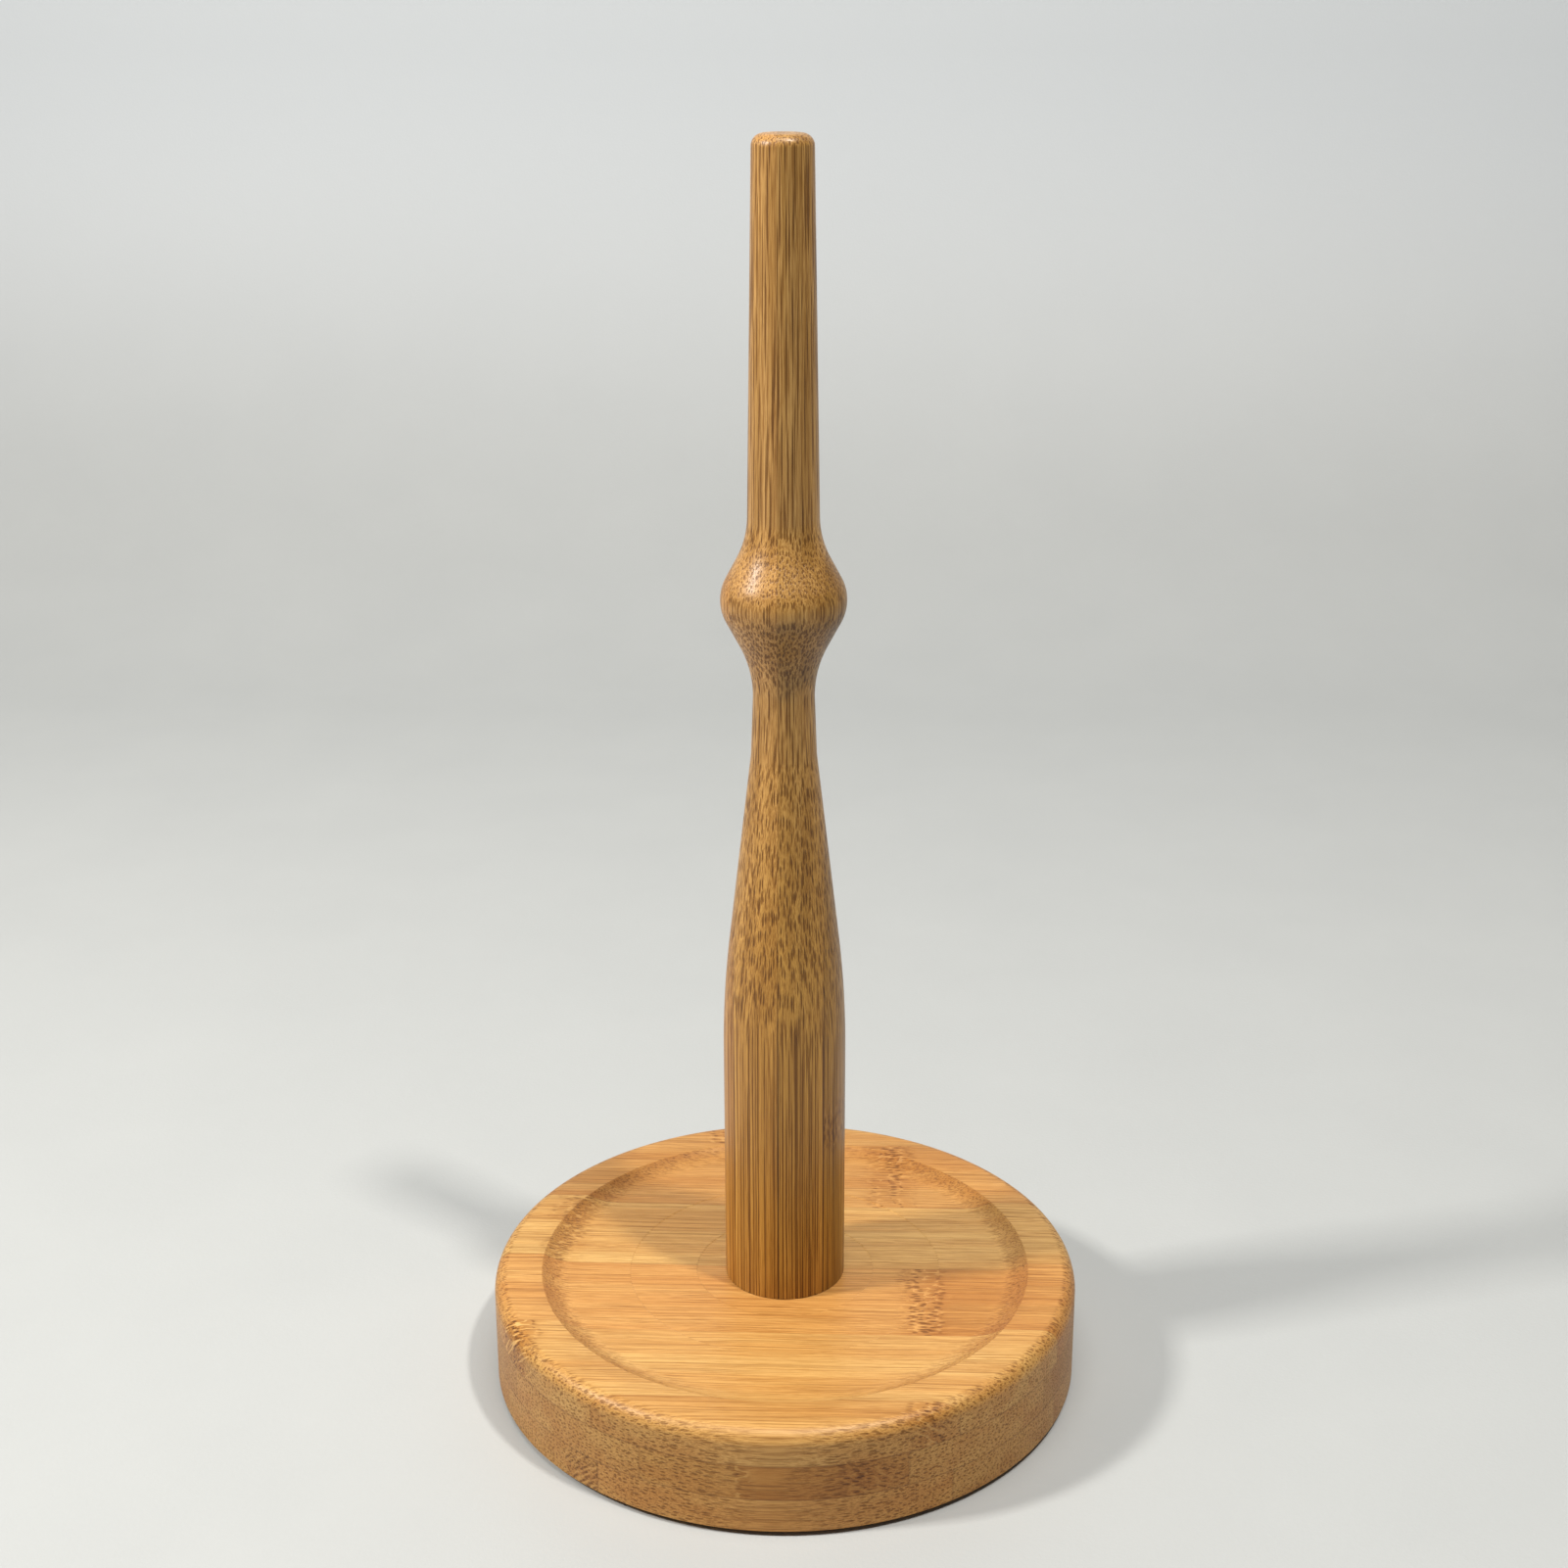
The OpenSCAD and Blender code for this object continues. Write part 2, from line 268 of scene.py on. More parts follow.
# ---------------------------------------------------------------- material graphs
class Graph:
    """A material's node tree, with one short call for each node. Values may be sockets or numbers."""

    def __init__(self, name):
        self.material = bpy.data.materials.new(name)
        self.material.use_nodes = True
        self.nodes = self.material.node_tree.nodes
        self.links = self.material.node_tree.links
        self.shader = self.nodes["Principled BSDF"]

    def put(self, node, socket, value):
        if isinstance(value, bpy.types.NodeSocket):
            self.links.new(value, node.inputs[socket])
        elif value is not None:
            node.inputs[socket].default_value = value

    def math(self, op, a, b=None):
        node = self.nodes.new("ShaderNodeMath")
        node.operation = op
        self.put(node, 0, a)
        self.put(node, 1, b)
        return node.outputs[0]

    def step(self, value, low, high, to_low=0.0, to_high=1.0):
        """Smooth step of value from low to high."""
        node = self.nodes.new("ShaderNodeMapRange")
        node.interpolation_type = "SMOOTHSTEP"
        for i, part in enumerate((value, low, high, to_low, to_high)):
            self.put(node, i, part)
        return node.outputs[0]

    def combine(self, x, y, z):
        node = self.nodes.new("ShaderNodeCombineXYZ")
        for i, value in enumerate((x, y, z)):
            self.put(node, i, value)
        return node.outputs[0]

    def separate(self, vector):
        node = self.nodes.new("ShaderNodeSeparateXYZ")
        self.put(node, 0, vector)
        return node.outputs

    def noise(self, vector, scale, detail, rough=0.5):
        node = self.nodes.new("ShaderNodeTexNoise")
        for key, value in (("Vector", vector), ("Scale", scale), ("Detail", detail), ("Roughness", rough)):
            self.put(node, key, value)
        return node.outputs["Fac"]

    def cells(self, vector, randomness=1.0):
        """Distance to the nearest cell point in the XY plane, and that cell's own random number."""
        node = self.nodes.new("ShaderNodeTexVoronoi")
        node.voronoi_dimensions = "2D"
        self.put(node, "Vector", vector)
        self.put(node, "Scale", 1.0)
        self.put(node, "Randomness", randomness)
        return node.outputs["Distance"], self.separate(node.outputs["Color"])[0]

    def around(self, value, size):
        """A noise value moved to lie about zero, times a size."""
        return self.math("MULTIPLY", self.math("SUBTRACT", value, 0.5), size)

    def product(self, *values):
        out = values[0]
        for value in values[1:]:
            out = self.math("MULTIPLY", out, value)
        return out

    def mix(self, factor, a, b, blend="MIX"):
        node = self.nodes.new("ShaderNodeMix")
        node.data_type = "RGBA"
        node.blend_type = blend
        self.put(node, 0, factor)
        self.put(node, 6, a)
        self.put(node, 7, b)
        return node.outputs[2]

    def tint(self, colour, factor, strength):
        """Colour times a second colour, as far as factor says."""
        return self.mix(factor, colour, strength, "MULTIPLY")

    def coordinates(self):
        """Place on the object in millimetres."""
        node = self.nodes.new("ShaderNodeTexCoord")
        scale = self.nodes.new("ShaderNodeVectorMath")
        scale.operation = "SCALE"
        self.links.new(node.outputs["Object"], scale.inputs[0])
        scale.inputs["Scale"].default_value = 1 / MM
        return self.separate(scale.outputs[0])

    def normal(self):
        node = self.nodes.new("ShaderNodeNewGeometry")
        return self.separate(node.outputs["Normal"])

    def finish(self, colour, rough, height, bump, **fixed):
        """Sets the shader, with a bump of the given depth, and hands back the material."""
        self.put(self.shader, "Base Color", colour)
        self.put(self.shader, "Roughness", rough)
        for key, value in fixed.items():
            self.put(self.shader, key.replace("_", " "), value)
        node = self.nodes.new("ShaderNodeBump")
        self.put(node, "Height", height)
        node.inputs["Distance"].default_value = bump
        self.links.new(node.outputs[0], self.shader.inputs["Normal"])
        return self.material


# Bamboo's own marks, as what they multiply the ground colour by
BUNDLE_TINT = (0.42, 0.33, 0.17, 1)
PORE_TINT = (0.52, 0.42, 0.26, 1)
STREAK_TINT = (0.50, 0.39, 0.23, 1)
FINE_TINT = (0.80, 0.74, 0.62, 1)
END_GRAIN_TINT = (0.86, 0.79, 0.63, 1)
# Darkens the dish's cove: painted shade in the recess, together with the cutter's scorch
COVE_SHADE_AND_SCORCH_TINT = (0.70, 0.60, 0.42, 1)
NODE_TINT = (0.76, 0.62, 0.40, 1)
PIT_TINT = (0.42, 0.32, 0.16, 1)
GLUE_TINT = (0.30, 0.20, 0.10, 1)
BLUSH_TINT = (0.82, 0.70, 0.53, 1)

# Lengths of the marks along the fibre, in millimetres
BROAD_LENGTH = 150
STREAK_LENGTH = 48
DRIFT_LENGTH = 38
PATCH_LENGTH = 26
FINE_LENGTH = 5

# Sizes across the fibre, in millimetres, where every piece has the same
DRIFT_SIZE = 11
PATCH_SIZE = 3.5
FINE_SIZE = 0.13
PORE_SHARE = 0.36

# The growth nodes' own sizes, in millimetres
NODE_WANDER = 9
NODE_WANDER_SIZE = 5
PIT_LENGTH = 3
PIT_SIZE = 0.95
PIT_COLUMN = 3.4
PIT_COLUMN_SIZE = 22
BLUSH_LENGTH = 62

COVE_WIDTH = 8.5
GLUE_CORE = 0.10
GLUE_EDGE = 0.26
GLUE_FADE_LOW = 85
GLUE_FADE_HIGH = 130
LOW_TINT_FROM = 210
LOW_TINT_TO = 90
MARK_BUMP = 0.05 * MM
COAT_ROUGHNESS = 0.3


class Fibre:
    """Places in laminated bamboo, in millimetres along and across its fibre.

    The fibre runs along axis 0 in the board and 2 in the post. Across it, places drift a little on
    the way along, as fibre bundles do.
    """

    def __init__(self, g, axis, drift, seed):
        self.g = g
        self.axis = axis
        self.seed = seed
        self.xyz = g.coordinates()
        self.along = self.xyz[axis]
        self.wide = self.xyz[1]
        self.thick = self.xyz[2 - axis]
        self.drifted_wide = g.math("ADD", self.wide, self.drift(drift, seed))
        self.drifted_thick = g.math("ADD", self.thick, self.drift(drift, seed + 40))

    def drift(self, size, shift):
        """A slow wandering, up to about half of size to either side."""
        g = self.g
        place = g.combine(g.math("DIVIDE", self.along, DRIFT_LENGTH), g.math("DIVIDE", self.wide, DRIFT_SIZE),
                          g.math("ADD", g.math("DIVIDE", self.thick, DRIFT_SIZE), shift))
        return g.around(g.noise(place, 1, 1), size)

    def stretched(self, length, size, shift):
        """Coordinates for a noise that is long along the fibre and narrow across it.

        shift keeps one kind of mark from repeating another's pattern.
        """
        g = self.g
        return g.combine(g.math("ADD", g.math("DIVIDE", self.along, length), self.seed + shift),
                         g.math("DIVIDE", self.drifted_wide, size),
                         g.math("ADD", g.math("DIVIDE", self.drifted_thick, size), shift))

    def across(self, size, shift):
        """Coordinates in the cross-section alone, so that a pattern runs on along the fibre."""
        g = self.g
        return g.combine(g.math("ADD", g.math("DIVIDE", self.drifted_wide, size), self.seed + shift),
                         g.math("ADD", g.math("DIVIDE", self.drifted_thick, size), shift), 0.0)


def slope_and_cove(g, fibre, look):
    """How far the surface faces along the fibre, and the dish's cove as a mask, if the look has one.

    Inside the outer ring the slope is left out, so that the ring steps don't turn dark.
    """
    slope = g.math("ABSOLUTE", g.normal()[fibre.axis])
    if not look["cove"]:
        return slope, None
    x, y = fibre.xyz[0], fibre.xyz[1]
    radius = g.math("SQRT", g.math("ADD", g.product(x, x), g.product(y, y)))
    ring = RING_RADII[1] / MM
    lip = DISH_R / MM
    slope = g.math("MULTIPLY", slope, g.step(radius, ring + 2, ring + 4))
    cove = g.math("MULTIPLY", g.step(radius, lip - COVE_WIDTH, lip), g.step(radius, lip + 0.25, lip + 0.1))
    return slope, cove


def fibre_bundles(g, fibre, look):
    """The dark dots of the cross-section, denser in patches and, where asked, bigger on faces turned down as
    painted shade.
    """
    patchy = g.noise(fibre.stretched(PATCH_LENGTH, PATCH_SIZE, 12.3), 1, 2, 0.5)
    near, chance = g.cells(fibre.across(look["bundle"], 0.0), 0.85)
    reach = g.math("ADD", g.math("MULTIPLY", chance, 0.10), g.math("ADD", g.around(patchy, 0.26), 0.16))
    # faces turned down get bigger dots: painted shade under the bead
    if look["underside_shade"]:
        below = g.step(g.normal()[2], 0.0, -0.4)
        reach = g.math("ADD", reach, g.math("MULTIPLY", below, look["underside_shade"]))
    return g.step(g.math("SUBTRACT", near, reach), 0.10, -0.02)


def fibre_pores(g, fibre, look):
    """Smaller dots between the bundles, about half of their places left empty."""
    near, chance = g.cells(fibre.across(look["bundle"] * PORE_SHARE, 3.1))
    return g.math("MULTIPLY", g.step(near, 0.42, 0.22), g.step(chance, 0.45, 0.55))


def ground_colour(g, fibre, look):
    """The bare colour under the marks: broad light and dark bands, toned lower down where asked."""
    broad = g.noise(fibre.stretched(BROAD_LENGTH, look["broad"], 1.7), 1, 3, 0.55)
    colour = g.mix(g.step(broad, 0.32, 0.68), (*look["dark"], 1), (*look["light"], 1))
    if look["low_tint"]:
        low = g.step(fibre.xyz[2], LOW_TINT_FROM, LOW_TINT_TO)
        colour = g.tint(colour, low, (*look["low_tint"], 1))
    return colour


def toned(colour, tone):
    return tuple(part * tone for part in colour)


def add_growth_node(g, fibre, look, colour, place, width, strength, blush):
    """A browner band with short pits and pale dashes, and a blush to one side."""
    wide, thick = fibre.wide, fibre.thick
    spot = g.combine(g.math("DIVIDE", wide, NODE_WANDER_SIZE), g.math("DIVIDE", thick, NODE_WANDER_SIZE),
                     fibre.seed)
    wander = g.around(g.noise(spot, 1, 3), NODE_WANDER)
    off = g.math("SUBTRACT", g.math("ADD", fibre.along, wander), place)
    band = g.math("MULTIPLY", g.step(g.math("ABSOLUTE", off), width, width * 0.3), strength)
    level = g.math("ADD", wide, g.math("MULTIPLY", thick, 0.8))
    knots = g.combine(g.math("DIVIDE", fibre.along, PIT_LENGTH), g.math("DIVIDE", level, PIT_SIZE), 0.0)
    near, chance = g.cells(knots)
    columns = g.noise(g.combine(g.math("DIVIDE", off, PIT_COLUMN), g.math("DIVIDE", level, PIT_COLUMN_SIZE),
                                fibre.seed), 1, 1)
    pit = g.product(g.step(near, 0.38, 0.2), band, g.step(columns, 0.44, 0.54))
    pale = g.product(g.step(near, 0.45, 0.6), band, g.step(chance, 0.3, 0.6))
    if blush:
        side = g.math("MULTIPLY", off, blush)
        reddened = g.product(g.step(side, -2.0, 5.0), g.step(side, BLUSH_LENGTH, 12.0), strength)
        colour = g.tint(colour, reddened, BLUSH_TINT)
    colour = g.tint(colour, g.math("MULTIPLY", band, 0.6), NODE_TINT)
    colour = g.tint(colour, pit, PIT_TINT)
    return g.mix(g.math("MULTIPLY", pale, 0.5), colour, (*toned(look["light"], 1.12), 1))


def add_glue_lines(g, fibre, colour, joints):
    """Dark glue lines, which fade out above the post's foot.

    Each joint is an axis, a place on it and a strength.
    """
    shows = g.step(fibre.xyz[2], GLUE_FADE_HIGH, GLUE_FADE_LOW, 0.22, 1.0)
    for axis, place, strength in joints:
        off = g.math("ABSOLUTE", g.math("SUBTRACT", fibre.xyz[axis], place))
        colour = g.tint(colour, g.product(g.step(off, GLUE_EDGE, GLUE_CORE), shows, strength), GLUE_TINT)
    return colour


def eased(g, value, mask, share):
    """The value, made smaller where the mask is, or larger for a negative share."""
    return g.math("MULTIPLY", value, g.math("SUBTRACT", 1.0, g.math("MULTIPLY", mask, share)))


def dark_marks(g, fibre, look, streaks, slope, cove):
    """Streaks, bundles and pores as masks, as far as the look shows them on this surface."""
    streak = g.math("MULTIPLY", g.step(streaks, 0.43, 0.66), look["streak"])
    bundle = fibre_bundles(g, fibre, look)
    pore = fibre_pores(g, fibre, look)
    if cove is not None:
        # the cutter left finer marks here
        streak = eased(g, streak, cove, 0.6)
        bundle = eased(g, bundle, cove, 0.75)
        pore = eased(g, pore, cove, -1.3)
    shown = g.step(slope, 0.02, 0.30, look["line"], look["dot"])
    bundle = g.math("MULTIPLY", bundle, shown)
    pore = g.product(pore, g.math("ADD", g.math("MULTIPLY", shown, 0.5), 0.1))
    return streak, bundle, pore


def bamboo(name, axis, look, seed, joints=(), node_places=()):
    """Lacquered bamboo, its fibres along one axis: 0 for the board, 2 for the post.

    The fibre bundles are dots in the cross-section that run on along the fibre, so the one pattern
    shows as lines on a long face, dashes on a taper and speckle on end grain.
    """
    g = Graph(name)
    fibre = Fibre(g, axis, look["drift"], seed)
    slope, cove = slope_and_cove(g, fibre, look)
    streaks = g.noise(fibre.stretched(STREAK_LENGTH, look["streak_size"], 5.3), 1, 3, 0.7)
    fine = g.noise(fibre.stretched(FINE_LENGTH, FINE_SIZE, 8.9), 1, 2, 0.6)
    streak, bundle, pore = dark_marks(g, fibre, look, streaks, slope, cove)

    colour = g.tint(ground_colour(g, fibre, look), streak, STREAK_TINT)
    colour = g.tint(colour, g.step(fine, 0.42, 0.7), FINE_TINT)
    colour = g.tint(colour, g.math("MULTIPLY", g.step(slope, 0.05, 0.40), look["end"]), END_GRAIN_TINT)
    if cove is not None:
        # painted shade in the cove, with the cutter's scorch, stronger where the cove wall shows end grain
        colour = g.tint(colour, g.product(cove, g.step(slope, 0.0, 0.3), look["cove"]), COVE_SHADE_AND_SCORCH_TINT)
    colour = g.tint(colour, bundle, BUNDLE_TINT)
    colour = g.tint(colour, pore, PORE_TINT)
    for growth_node in node_places:
        colour = add_growth_node(g, fibre, look, colour, *growth_node)
    colour = add_glue_lines(g, fibre, colour, joints)

    pitted = g.math("ADD", bundle, g.math("MULTIPLY", pore, 0.5))
    relief = g.math("SUBTRACT", g.math("MULTIPLY", fine, 0.2), pitted)
    rough = g.math("ADD", g.math("MULTIPLY", streaks, 0.14),
                   g.math("ADD", g.math("MULTIPLY", bundle, 0.12), look["rough"]))
    return g.finish(colour, rough, relief, MARK_BUMP, Coat_Weight=look["coat"],
                    Coat_Roughness=COAT_ROUGHNESS, IOR=1.5, Specular_IOR_Level=look["sheen"])


# ---------------------------------------------------------------- the board
PLY_OUTLINES = {"bottom": bottom_ply_outline, "middle": middle_ply_outline, "top": top_ply_outline}
# Without "bundle" and "cove", which each ply sets for itself
BOARD_LOOK = {"light": (0.650, 0.370, 0.120), "dark": (0.570, 0.285, 0.078), "broad": 7.0,
              "drift": 1.4, "line": 0.28, "dot": 0.75, "streak": 0.68, "streak_size": 0.32, "end": 0.4,
              "low_tint": None, "rough": 0.38, "coat": 0.03, "sheen": 0.36, "underside_shade": 0.0}
BUNDLE_SIZES = {"bottom": 0.85, "middle": 0.9, "top": 0.95}
# Strength of the cove's painted shade and the cutter's scorch
COVE_SHADE_AND_SCORCH = 0.7
PLY_GLUE = 0.42
STRIP_GLUE = 0.22
# Tint of each strip, front 1 to 3 and then back 1 to 3
STRIP_TINTS = {
    "top": ((1.0, 0.96, 0.92), (1.03, 1.07, 1.1), (0.98, 0.97, 0.95), (1.0, 1.06, 1.1), (0.92, 0.86, 0.8),
            (0.95, 0.95, 0.95)),
    "middle": ((0.84, 0.79, 0.70), (0.97, 0.97, 0.94), (0.93, 0.90, 0.80), (0.93, 0.9, 0.85),
               (0.98, 0.98, 0.98), (0.90, 0.86, 0.80)),
    "bottom": ((0.92, 0.88, 0.80), (0.96, 0.96, 0.92), (0.99, 0.95, 0.88), (0.94, 0.93, 0.92),
               (0.98, 0.94, 0.88), (0.93, 0.90, 0.86)),
}
# Growth nodes of the cane, as (place along X in mm, half width, strength, side of the blush or 0)
STRIP_NODES = {
    strip_name("top", "front", 1): ((35, 8, 0.9, 1),),
    strip_name("top", "front", 2): ((-67, 10, 1.5, 0),),
    strip_name("top", "front", 3): ((36, 7, 0.9, 0),),
    strip_name("top", "back", 1): ((-58, 7, 0.6, 0),),
    strip_name("top", "back", 2): ((27, 9, 0.85, 0),),
    strip_name("top", "back", 3): ((-20, 7, 0.8, 0),),
    strip_name("middle", "front", 3): ((22, 9, 0.7, 0), (-8, 3, 0.9, 1)),
    strip_name("middle", "back", 3): ((8, 8, 0.8, 0),),
    strip_name("bottom", "front", 2): ((-45, 8, 0.7, 0),),
    strip_name("bottom", "back", 1): ((40, 8, 0.8, 1),),
}


def tinted(colour, tint):
    return tuple(part * share for part, share in zip(colour, tint))


def tinted_look(look, tint, **changes):
    return {**look, "light": tinted(look["light"], tint), "dark": tinted(look["dark"], tint), **changes}


def make_strip(ply, side, i, order):
    node = strip_name(ply, side, i)
    low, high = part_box(node)
    bm = lathe(PLY_OUTLINES[ply](), closed=True)
    if not (side == "front" and i == OUTERMOST):
        cut(bm, 1, low.y, keep_above=True)
    if not (side == "back" and i == OUTERMOST):
        cut(bm, 1, high.y, keep_above=False)
    # glue lines only where the strip meets another one, and so not at the board's own faces
    joints = [(1, y / MM, STRIP_GLUE) for y in (low.y, high.y) if abs(y) < BASE_R - 2 * MM]
    joints += [(2, z / MM, PLY_GLUE) for z in (low.z, high.z) if PAD_T + MM < z < BASE_TOP - MM]
    look = tinted_look(BOARD_LOOK, STRIP_TINTS[ply][order], bundle=BUNDLE_SIZES[ply],
                       cove=COVE_SHADE_AND_SCORCH if ply == "top" else 0.0)
    seed = 3.7 * order + 11.3 * PLIES.index(ply)
    material = bamboo(f"bamboo_{node}", 0, look, seed, joints, STRIP_NODES.get(node, ()))
    make_piece(f"strip_{ply}_{side}_{i}", bm, material, node)


def make_board():
    """All the strips, ply by ply. A strip's order picks its tint and the seed of its grain."""
    for ply in PLIES:
        for order, (side, i) in enumerate((side, i) for side in BOARD_SIDES for i in STRIP_NUMBERS):
            make_strip(ply, side, i, order)


# ---------------------------------------------------------------- the post
POST_LOOK = {"light": (0.62, 0.352, 0.126), "dark": (0.45, 0.238, 0.069), "broad": 3.2, "bundle": 0.70,
             "drift": 0.5, "line": 1.0, "dot": 0.9, "streak": 0.85, "streak_size": 0.30, "end": 0.25,
             "cove": 0.0, "low_tint": (0.99, 0.93, 0.58), "rough": 0.28, "coat": 0.08, "sheen": 0.42,
             # underside_shade: bigger dark dots on faces turned down, as painted shade under the bead
             "underside_shade": 0.10}
# Tint of each slat, inner to outer: the left slats a little lighter, the right ones darker and the outermost
# right slat most, as painted light and shade across the post over each slat's own tone
SLAT_TONES_AND_SIDE_SHADE = {"left": ((1.02, 1.02, 0.98), (1.04, 1.05, 1.06), (1.06, 1.0, 0.94)),
              "right": ((0.92, 0.94, 0.86), (0.92, 0.93, 0.83), (0.72, 0.71, 0.56))}
# Darkness of the glue line at each slat's inner side
SLAT_GLUE = {"left": (0.95, 0.55, 0.5), "right": (0.95, 0.5, 0.85)}
SLAT_NODES = {slat_name("right", 3): ((72, 9, 0.75, 0),)}
SPLIT_Z = FOOT_Z + 150 * MM


def make_slat(side, i, in_bead):
    """One slat of the post's blank. in_bead picks the upper one of an outer slat's two ends."""
    node = bead_slat_name(side, i) if in_bead else slat_name(side, i)
    low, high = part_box(slat_name(side, i))
    bm = lathe(post_outline(), closed=False)
    inner, outer = (high.x, low.x) if side == "left" else (low.x, high.x)
    cut(bm, 0, inner, keep_above=side == "right")
    if i != OUTERMOST:
        cut(bm, 0, outer, keep_above=side == "left")
    else:
        keep_split(bm, in_bead)
    joints = [(0, inner / MM, SLAT_GLUE[side][i - 1])]
    if i != OUTERMOST:
        joints.append((0, outer / MM, SLAT_GLUE[side][i]))
    look = tinted_look(POST_LOOK, SLAT_TONES_AND_SIDE_SHADE[side][i - 1])
    seed = 5.1 * i + (23 if side == "right" else 0)
    material = bamboo(f"bamboo_{node}", 2, look, seed, joints, SLAT_NODES.get(node, ()))
    make_piece(node.replace("slat", "stave"), bm, material, node)


def keep_split(bm, above):
    """Keeps the islands above or below the neck, which the neck has parted already."""
    gone = [v for v in bm.verts if (v.co.z > SPLIT_Z) != above]
    bmesh.ops.delete(bm, geom=gone, context="VERTS")


def make_post():
    for side in POST_SIDES:
        for i in STRIP_NUMBERS:
            make_slat(side, i, False)
        make_slat(side, OUTERMOST, True)


# ---------------------------------------------------------------- screw, washer, insert and pads
SCREW_STEPS = 96
SCREW_R = 3 * MM
THREAD_PITCH = 1 * MM
THREAD_DEPTH = 0.55 * MM
THREAD_ROWS = 8  # rings of points to each turn of the thread
HALF_FLAT = math.pi / 6  # half the angle that one flat of the socket takes up
HEX_REACH = 2 * MM / math.cos(HALF_FLAT)
HEX_DEPTH = 2 * MM
HEX_BEVEL = 0.25 * MM
HEX_POINT = 0.3 * MM
DOME_STEPS = 12
DOME_EDGE = 0.02 * MM
HEAD_ROUND = 0.15 * MM
TIP_FLAT = 0.1 * MM
THREAD_FADE = 2 * MM
TIP_CHAMFER = 0.8 * MM


def metal(name, light, dark, rough, grain):
    """Metal with a drawn finish round the Z axis and a little dulling in patches."""
    g = Graph(name)
    xyz = g.coordinates()
    patches = g.noise(g.combine(*xyz), 0.35, 3)
    lines = g.noise(g.combine(g.math("MULTIPLY", xyz[0], 0.3), g.math("MULTIPLY", xyz[1], 0.3),
                              g.math("MULTIPLY", xyz[2], grain)), 1, 2)
    colour = g.mix(g.step(patches, 0.35, 0.65), (*dark, 1), (*light, 1))
    colour = g.tint(colour, g.step(lines, 0.45, 0.75), shade(0.86))
    dulled = g.math("ADD", g.math("MULTIPLY", patches, 0.22), rough - 0.1)
    return g.finish(colour, dulled, lines, 0.01 * MM, Metallic=1.0)


def shade(value):
    return (value, value, value, 1)


def rubber():
    g = Graph("pad_rubber")
    xyz = g.coordinates()
    grain = g.noise(g.combine(*xyz), 4, 3, 0.6)
    dust = g.noise(g.combine(*xyz), 0.25, 3)
    colour = g.mix(grain, (0.020, 0.019, 0.018, 1), (0.040, 0.038, 0.035, 1))
    colour = g.mix(g.step(dust, 0.5, 0.8, 0.0, 0.35), colour, (0.16, 0.15, 0.13, 1))
    rough = g.math("ADD", g.math("MULTIPLY", dust, 0.2), 0.65)
    return g.finish(colour, rough, grain, 0.04 * MM, Specular_IOR_Level=0.35)


def screw_outline(low, seat, tip):
    """Half outline of the button-head screw, from the socket's floor round the head to the tip."""
    head_h = seat - low
    head_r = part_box("post_screw")[1].x
    dome_r = (head_r * head_r + head_h * head_h) / (2 * head_h)
    points = [(0, low + HEX_DEPTH + HEX_POINT), (HEX_REACH, low + HEX_DEPTH), (HEX_REACH, low + HEX_BEVEL)]
    rim_angle = math.asin((HEX_REACH + HEX_BEVEL) / dome_r)
    edge_angle = math.asin((head_r - DOME_EDGE) / dome_r)
    for k in range(DOME_STEPS + 1):
        a = rim_angle + (edge_angle - rim_angle) * k / DOME_STEPS
        points.append((dome_r * math.sin(a), low + dome_r * (1 - math.cos(a))))
    points += [(head_r - DOME_EDGE, seat - 0.1 * MM), (head_r - HEAD_ROUND, seat), (SCREW_R, seat)]
    rows = round((tip - seat) / THREAD_PITCH * THREAD_ROWS)
    points += [(SCREW_R, seat + (tip - seat) * k / rows) for k in range(1, rows)]
    points += [(SCREW_R - THREAD_DEPTH - TIP_FLAT, tip), (0, tip)]
    return points


def screw_radius(seat, tip):
    """How the radius changes round the turn: six flats in the socket, a thread on the shank."""
    def radius_at(r, z, angle):
        if r <= HEX_REACH + 0.01 * MM and z < seat:
            off_middle = (angle + HALF_FLAT) % (2 * HALF_FLAT) - HALF_FLAT
            return r * math.cos(HALF_FLAT) / math.cos(off_middle)
        if z <= seat or z >= tip:
            return r
        turn = (z / THREAD_PITCH - angle / (2 * math.pi)) % 1
        # a V groove with its crest and root cut flat
        groove = min(1, max(0, abs(2 * turn - 1) * 1.25 - 0.12))
        fade = min(1, (z - seat) / THREAD_FADE)
        chamfer = max(0, 1 - (tip - z) / TIP_CHAMFER) * THREAD_DEPTH
        return min(r - groove * THREAD_DEPTH * fade, r - chamfer)
    return radius_at


def make_screw(material):
    low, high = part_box("post_screw")
    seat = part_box("screw_washer")[0].z
    shape = screw_outline(low.z, seat, high.z)
    bm = lathe(shape, closed=False, steps=SCREW_STEPS, radius_at=screw_radius(seat, high.z))
    make_piece("button_head_screw", bm, material, "post_screw")


def make_washer(material):
    """A stamped washer: rounded on the side that the die met, sharper on the other."""
    low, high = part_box("screw_washer")
    outer, bore = high.x, SCREW_HOLE_R
    soft, crisp = 0.35 * MM, 0.1 * MM
    points = [(bore, low.z + soft), (bore + soft, low.z), (outer - soft, low.z)]
    points += arc(outer - soft, low.z + soft, soft, -90, 0, 6)[1:]
    points += [(outer, high.z - crisp), (outer - crisp, high.z), (bore + crisp, high.z),
               (bore, high.z - crisp)]
    bm = lathe(points, closed=True, steps=SCREW_STEPS)
    make_piece("flat_washer", bm, material, "screw_washer")


